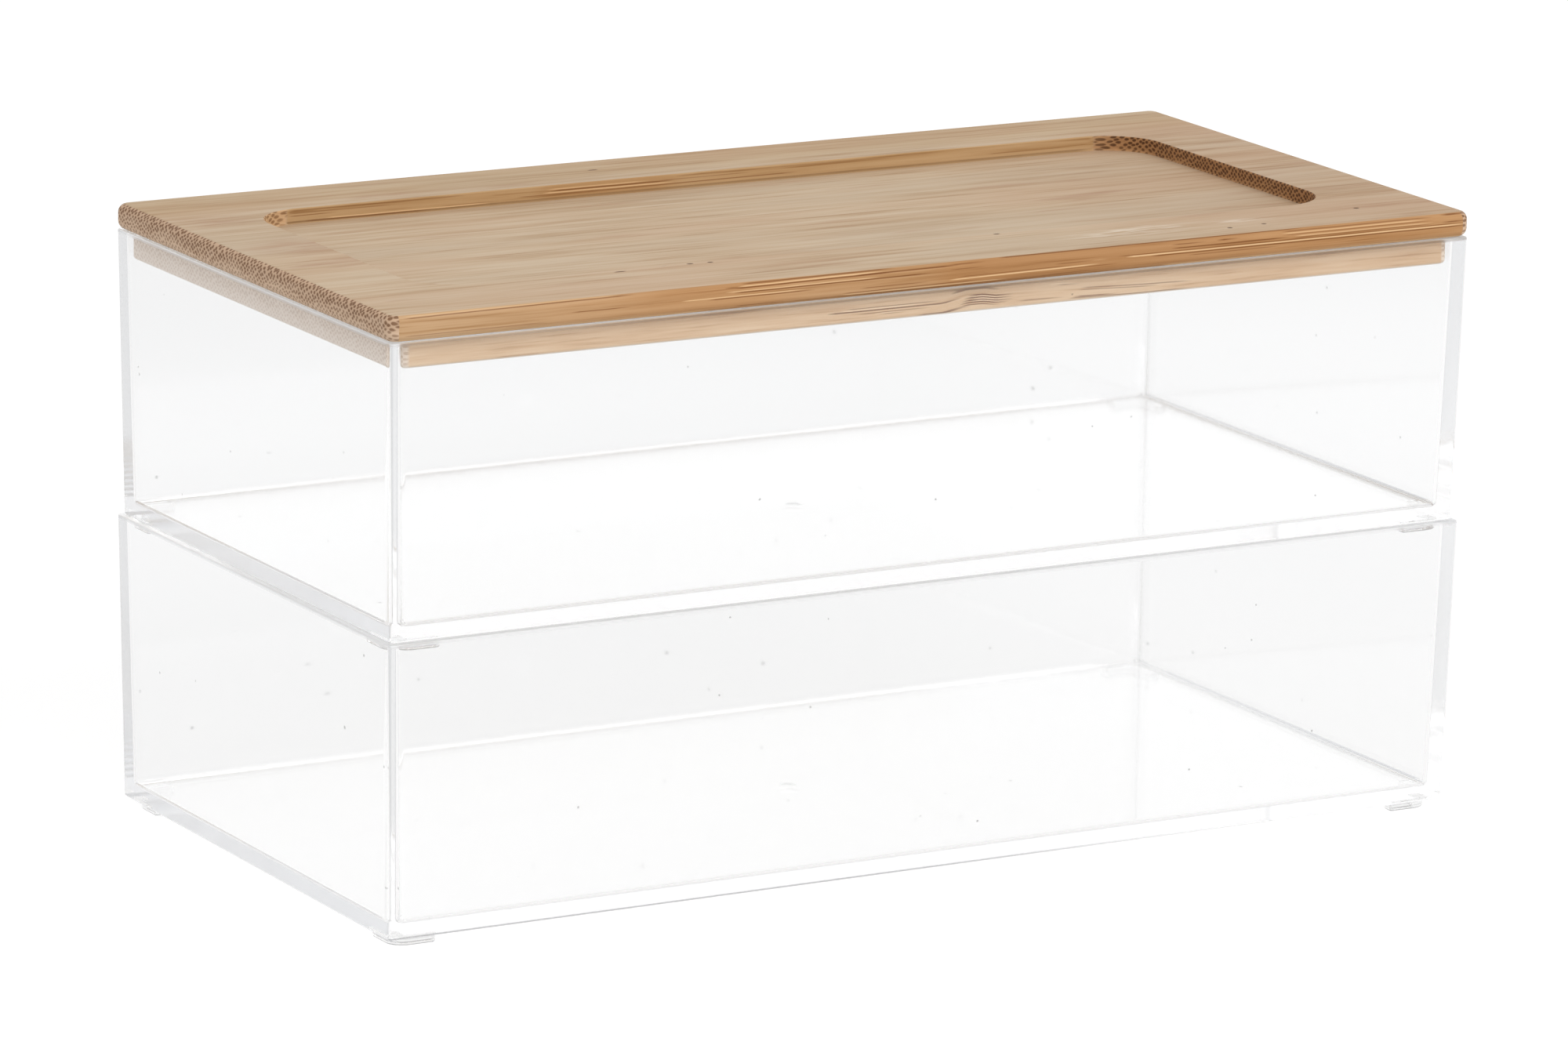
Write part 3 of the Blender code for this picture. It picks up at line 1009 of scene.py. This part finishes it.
plasticFinish = {
    "tint": (0.995, 0.996, 0.997, 1),
    "roughness": 0.04,
    "rimRoughness": 0.35,
    "underRoughness": 0.1,
    "rimShade": paint(202, 194, 186),  # painted reflection: under the lid the rim is greyed as if it mirrored the board
    "baseLine": paint(146, 146, 148),  # painted shade along the foot of the lower box's front
    # painted shade in the feet: grey stripes and a dark line on their sides, standing in for the dark they
    # refract
    "footShade": paint(158, 158, 160),
    "footLine": paint(104, 104, 106),
    "footStripes": 9000.0,
    "stripeTurn": (0.4, 1.0),
    "stripeStrength": 0.4,
    "deepest": 22.0,  # bends and reflections after which light goes straight on
    "ior": 1.58,
    "shadow": (0.98, 0.98, 0.98, 1),
    "depthTint": paint(150, 165, 190),
    "depthDensity": 0.2,
    "waveScale": (14, 14, 22),
    "waves": 0.008,
    "waveDepth": 0.0001,
    "dust": paint(96, 94, 92),
    "dustStrength": 0.8,
    "dustSpacing": 0.008,
    "dustSize": 0.0006,
}

# where each part starts and is complete, in metres: levels are heights above the shell's underside
plasticZones = {
    "rimLevel": (0.0602, 0.0606),
    "undersideLevel": (0.00008, 0.00002),
    "footTop": (-0.0001, -0.0003),
    "footBottom": (-0.00199, -0.00195),
    "footLine": (-0.0016, -0.0018, 0.0, 0.7),
    "rimTop": (0.0603, 0.0607),
    "rimFront": (-0.0605, -0.0615),
    "rimLength": (-0.1, -0.03, 0.1, 1.0),
    "upperBox": (0.09, 0.1),
    "baseFrom": (0.00002, 0.00008),
    "baseTo": (0.00055, 0.0004),
    "baseFront": (-0.0617, -0.0619),
    "baseLength": (0.105, -0.005),
    "lowerBox": (0.01, 0.008),
}

# the specks' outline is bent by a noise, and a share of them is dropped
dustShape = {"bendScale": 900.0, "bend": (0.0006, 0.0006, 0.0006), "core": 2.0, "dropped": 0.35}


# Sparse specks: in each cell of a grid one small ball, of which only some are kept. Where a face cuts a
# ball, a speck shows: one minus the distance to the ball's centre over its size.
def makeDust():
    tree, given, out = newGroup(
        "dustSpecks",
        [("Vector", vectorKind, None), ("Spacing", valueKind, 0.006), ("Size", valueKind, 0.0003)],
        [("Mask", valueKind)],
    )
    look = dustShape
    inputs = {"Vector": given["Vector"], "Scale": look["bendScale"], "Detail": 2.0}
    bend = put(tree, "ShaderNodeTexNoise", inputs).outputs[1]
    bend = vectorMaths(tree, "MULTIPLY", bend, look["bend"])
    bent = vectorMaths(tree, "ADD", given["Vector"], bend)
    scale = maths(tree, "DIVIDE", 1.0, given["Spacing"])
    cells = put(tree, "ShaderNodeTexVoronoi", {"Vector": bent, "Scale": scale, "Randomness": 1.0}).outputs
    chosen = splitAxes(tree, cells["Color"])
    size = times(tree, times(tree, given["Size"], scale), chosen["Y"])
    near = minus(tree, 1.0, maths(tree, "DIVIDE", cells["Distance"], size), True)
    near = times(tree, near, look["core"], True)
    kept = maths(tree, "GREATER_THAN", chosen["X"], look["dropped"])
    feed(tree, out, {"Mask": times(tree, near, kept)})
    return tree


dustSpecks = makeDust()


# The rim is a little matt, and so is the underside. Painted shade draws thin grey lines in the feet and along
# the foot of the lower box's front, and a painted reflection greys the upper box's front rim, where the
# plastic bends or mirrors the light.
def makeClearPlastic():
    material, tree, shader, place = newMaterial("clearPlastic")
    look, zones = plasticFinish, plasticZones
    level = attribute(tree, "level")
    rim = between(tree, level, *zones["rimLevel"], look["roughness"], look["rimRoughness"])
    under = maths(tree, "ABSOLUTE", level)
    under = between(tree, under, *zones["undersideLevel"], 0.0, look["underRoughness"])
    rough = larger(tree, rim, under)
    dust = useGroup(tree, dustSpecks, {
        "Vector": place, "Spacing": look["dustSpacing"], "Size": look["dustSize"],
    })["Mask"]
    colour = blendColours(tree, times(tree, dust, look["dustStrength"]), look["tint"], look["dust"])
    # painted shade: grey stripes and a dark line on the feet's sides
    stripes = maths(tree, "SINE", times(tree, level, look["footStripes"]))
    side = maskOf(tree, (level, zones["footTop"]), (level, zones["footBottom"]))
    stripes = times(tree, between(tree, stripes, *look["stripeTurn"]), side)
    colour = blendColours(tree, times(tree, stripes, look["stripeStrength"]), colour, look["footShade"])
    line = times(tree, between(tree, level, *zones["footLine"]), side)
    colour = blendColours(tree, line, colour, look["footLine"])
    x, y, z = splitAxes(tree, place)
    # painted reflection: the upper box's front rim is greyed as if it mirrored the board
    front = maskOf(
        tree, (level, zones["rimTop"]), (y, zones["rimFront"]),
        (x, zones["rimLength"]), (z, zones["upperBox"]),
    )
    colour = blendColours(tree, front, colour, look["rimShade"])
    # painted shade: a thin grey line along the foot of the lower box's front
    base = maskOf(
        tree, (level, zones["baseFrom"]), (level, zones["baseTo"]), (y, zones["baseFront"]),
        (x, zones["baseLength"]), (z, zones["lowerBox"]),
    )
    colour = blendColours(tree, base, colour, look["baseLine"])
    waves = noise(tree, stretched(tree, place, look["waveScale"]), detail=2.0)
    inputs = {"Height": waves, "Strength": look["waves"], "Distance": look["waveDepth"]}
    bump = put(tree, "ShaderNodeBump", inputs).outputs[0]
    feed(tree, shader, {
        "Base Color": colour, "Roughness": rough, "Normal": bump,
        "IOR": look["ior"], "Transmission Weight": 1.0,
    })
    path = tree.nodes.new("ShaderNodeLightPath").outputs
    straight = larger(tree, path["Is Shadow Ray"], path["Is Diffuse Ray"])
    deep = maths(tree, "GREATER_THAN", path["Ray Depth"], look["deepest"])
    straight = larger(tree, straight, deep)
    through = put(tree, "ShaderNodeBsdfTransparent", {"Color": look["shadow"]}).outputs[0]
    surface = put(tree, "ShaderNodeMixShader", {0: straight, 1: shader.outputs[0], 2: through}).outputs[0]
    inputs = {"Color": look["depthTint"], "Density": look["depthDensity"]}
    depth = put(tree, "ShaderNodeVolumeAbsorption", inputs).outputs[0]
    feed(tree, tree.nodes["Material Output"], {"Surface": surface, "Volume": depth})
    return material


def makeBoxes(material):
    low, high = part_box("lower_box")
    height = high.z - low.z - foot["height"] + clearBox["rimRaise"]
    mesh = combine(makeShell(high.x, high.y, height), makeFeet(high.x, high.y), "UNION")
    mesh = combine(mesh, makeGateBall(), "DIFFERENCE")
    points = np.empty(len(mesh.vertices) * 3, np.float32)
    mesh.vertices.foreach_get("co", points)
    layer = mesh.attributes.new("level", "FLOAT", "POINT")
    layer.data.foreach_set("value", np.ascontiguousarray(points.reshape(-1, 3)[:, 2]))
    for name, node, body in (("lowerBox", "lower_box", "lower"), ("upperBox", "upper_box", "upper")):
        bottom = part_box(node)[0].z + foot["height"]
        piece = addPiece(name, moved(mesh, bottom), material)
        smoothShade(piece)
        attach(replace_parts(piece, node), body)


clearPlastic = makeClearPlastic()
makeBoxes(clearPlastic)
print("boxes made")

studio = {
    "floorSize": 8.0,
    "floorColour": (0.3, 0.3, 0.3, 1),
    "floorRoughness": 0.9,
    # how brightly the floor glows: to the camera, through and in the plastic, and for soft light
    "floorWhite": 0.76,
    "floorGlow": 0.67,
    "floorFrontGlow": 0.0,
    "floorTrapped": 0.52,
    "floorBounce": 0.5,
    # painted light and shade: small changes of the glow seen through the plastic, dimmer far back, brighter
    # to the right and a painted contact shadow under the object
    "farFade": 0.08,
    "rightGlow": 0.03,
    "underGlow": 0.03,
    # where each change starts and is complete, in metres
    "frontSpan": (-0.9, -0.1),
    "farSpan": (0.34, 0.52),
    "rightSpan": (0.2, 0.36),
    "underEnds": (0.14, 0.12),
    "underSides": (0.075, 0.055),
    # the light around: fill for soft light, behind and ahead of the object for reflections
    "fill": 0.8,
    "behind": 1.05,
    "ahead": 0.4,
    "aheadThrough": 0.95,
    "throughLoss": 0.02,
    "turn": (-0.5, 0.6),  # from ahead to behind, as the Y of a direction
    # light that ran along inside a wall, and light that was bent very often
    "piped": (0.985, 0.99, 1.0, 1),
    "pipedDepth": 9.5,
    "pipedTurn": (0.2, -0.2),
    "trapped": (0.81, 0.82, 0.84, 1),
    "trappedDepth": 20.5,
    "keyPower": 20.0,
    "keySize": 1.4,
    "keyPlace": (0.3, -1.75, 1.45),
    "keyAim": (0, 0, 0.1),
}


# The floor glows for what looks at it. In reflections it fades towards the side that the camera stands on.
# Through the plastic it carries painted light and shade, with a painted contact shadow under the object.
def makeFloor():
    half = studio["floorSize"] / 2
    corners = [(-half, -half, 0), (half, -half, 0), (half, half, 0), (-half, half, 0)]
    mesh = bpy.data.meshes.new("floor")
    mesh.from_pydata(corners, [], [(0, 1, 2, 3)])
    material, tree, shader, place = newMaterial("paperFloor")
    path = tree.nodes.new("ShaderNodeLightPath").outputs
    axes = splitAxes(tree, place)
    across, ahead = axes["X"], axes["Y"]
    fullGlow = studio["floorGlow"]
    faded = between(tree, ahead, *studio["frontSpan"], studio["floorFrontGlow"], fullGlow)
    glow = times(tree, path["Is Camera Ray"], studio["floorWhite"])
    plain = between(tree, ahead, *studio["farSpan"], fullGlow, fullGlow * (1 - studio["farFade"]))
    plain = plus(tree, plain, between(tree, across, *studio["rightSpan"], 0.0, studio["rightGlow"]))
    # painted contact shadow: the glow dips under the object
    aside = maths(tree, "ABSOLUTE", across)
    aside = between(tree, aside, *studio["underEnds"], 0.0, studio["underGlow"])
    under = maths(tree, "ABSOLUTE", ahead)
    under = times(tree, aside, between(tree, under, *studio["underSides"]))
    plain = minus(tree, plain, under)
    glow = larger(tree, glow, times(tree, path["Is Transmission Ray"], plain))
    mirrored = minus(tree, path["Is Glossy Ray"], path["Is Transmission Ray"], True)
    glow = larger(tree, glow, times(tree, mirrored, faded))
    glow = larger(tree, glow, times(tree, path["Is Diffuse Ray"], studio["floorBounce"]))
    trapped = maths(tree, "GREATER_THAN", path["Ray Depth"], studio["trappedDepth"])
    glow = blendValues(tree, trapped, glow, studio["floorTrapped"])
    feed(tree, shader, {
        "Base Color": studio["floorColour"], "Roughness": studio["floorRoughness"],
        "Specular IOR Level": 0.0, "Emission Color": (1, 1, 1, 1), "Emission Strength": glow,
    })
    floor = addPiece("floor", mesh, material)


# White to look at and through the plastic. Reflections, and light that ran along inside a wall, also see
# the dimmer side of the studio.
def makeWorld():
    world = bpy.data.worlds.new("studio")
    bpy.context.scene.world = world
    world.use_nodes = True
    tree = world.node_tree
    tree.nodes.clear()
    path = tree.nodes.new("ShaderNodeLightPath").outputs
    direction = tree.nodes.new("ShaderNodeTexCoord").outputs["Generated"]
    backward = splitAxes(tree, direction)["Y"]
    mirrored = between(tree, backward, *studio["turn"], studio["ahead"], studio["behind"])
    far = maths(tree, "GREATER_THAN", path["Ray Depth"], studio["pipedDepth"])
    far = times(tree, far, path["Is Transmission Ray"])
    far = times(tree, far, between(tree, backward, *studio["pipedTurn"]))
    trapped = maths(tree, "GREATER_THAN", path["Ray Depth"], studio["trappedDepth"])
    seen = larger(tree, path["Is Camera Ray"], path["Is Transmission Ray"])
    colour = blendColours(tree, far, (1, 1, 1, 1), studio["piped"])
    colour = blendColours(tree, trapped, colour, studio["trapped"])
    strength = plus(tree, studio["fill"], times(tree, seen, 1 - studio["fill"]))
    strength = minus(tree, strength, times(tree, path["Is Transmission Ray"], studio["throughLoss"]))
    extra = times(tree, path["Is Glossy Ray"], minus(tree, mirrored, studio["fill"]))
    strength = plus(tree, strength, extra)
    least = times(tree, path["Is Transmission Ray"], studio["aheadThrough"])
    strength = larger(tree, strength, least)
    strength = blendValues(tree, trapped, strength, 1.0)
    light = put(tree, "ShaderNodeBackground", {"Color": colour, "Strength": strength})
    put(tree, "ShaderNodeOutputWorld", {"Surface": light.outputs[0]})


def makeLamp(name, place, size, power):
    lamp = bpy.data.lights.new(name, "AREA")
    lamp.shape = "DISK"
    lamp.size = size
    lamp.energy = power
    holder = bpy.data.objects.new(name, lamp)
    bpy.context.scene.collection.objects.link(holder)
    holder.location = place
    aim = Vector(studio["keyAim"]) - Vector(place)
    holder.rotation_euler = aim.to_track_quat("-Z", "Y").to_euler()


makeFloor()
makeWorld()
makeLamp("key", studio["keyPlace"], studio["keySize"], studio["keyPower"])

cameraView = {
    "distance": 1.8628,
    "azimuth": 29.5222,
    "elevation": 13.2123,
    "aimHeight": 0.066,
    "yaw": 29.4811,
    "pitch": -13.3352,
    "roll": 0.9686,
    "lens": 202.87,
    "sensorWidth": 36,
    "clip": (0.05, 50),
}


# Stands off from a point over the middle of the stack, then looks along yaw and pitch, rolled.
def makeCamera():
    look = {name: math.radians(cameraView[name]) for name in ("azimuth", "elevation", "yaw", "pitch", "roll")}
    flat = cameraView["distance"] * math.cos(look["elevation"])
    place = Vector((-flat * math.sin(look["azimuth"]), -flat * math.cos(look["azimuth"]), 0))
    place.z = cameraView["aimHeight"] + cameraView["distance"] * math.sin(look["elevation"])
    pitch, yaw = look["pitch"], look["yaw"]
    forward = Vector((math.sin(yaw) * math.cos(pitch), math.cos(yaw) * math.cos(pitch), math.sin(pitch)))
    level = Vector((math.cos(yaw), -math.sin(yaw), 0))
    raised = level.cross(forward)
    right = level * math.cos(look["roll"]) + raised * math.sin(look["roll"])
    up = raised * math.cos(look["roll"]) - level * math.sin(look["roll"])
    lens = bpy.data.cameras.new("camera")
    lens.sensor_fit = "HORIZONTAL"
    lens.sensor_width = cameraView["sensorWidth"]
    lens.lens = cameraView["lens"]
    lens.clip_start, lens.clip_end = cameraView["clip"]
    camera = bpy.data.objects.new("camera", lens)
    bpy.context.scene.collection.objects.link(camera)
    axes = Matrix((right, up, -forward)).transposed().to_4x4()
    camera.matrix_world = Matrix.Translation(place) @ axes
    bpy.context.scene.camera = camera


makeCamera()
scene = bpy.context.scene
scene.view_settings.view_transform = "Standard"
lightBounces = 40  # light runs along inside the walls and leaves them far away
scene.cycles.max_bounces = lightBounces
scene.cycles.transmission_bounces = lightBounces
scene.cycles.glossy_bounces = lightBounces
scene.cycles.transparent_max_bounces = 32
print("studio and camera made")
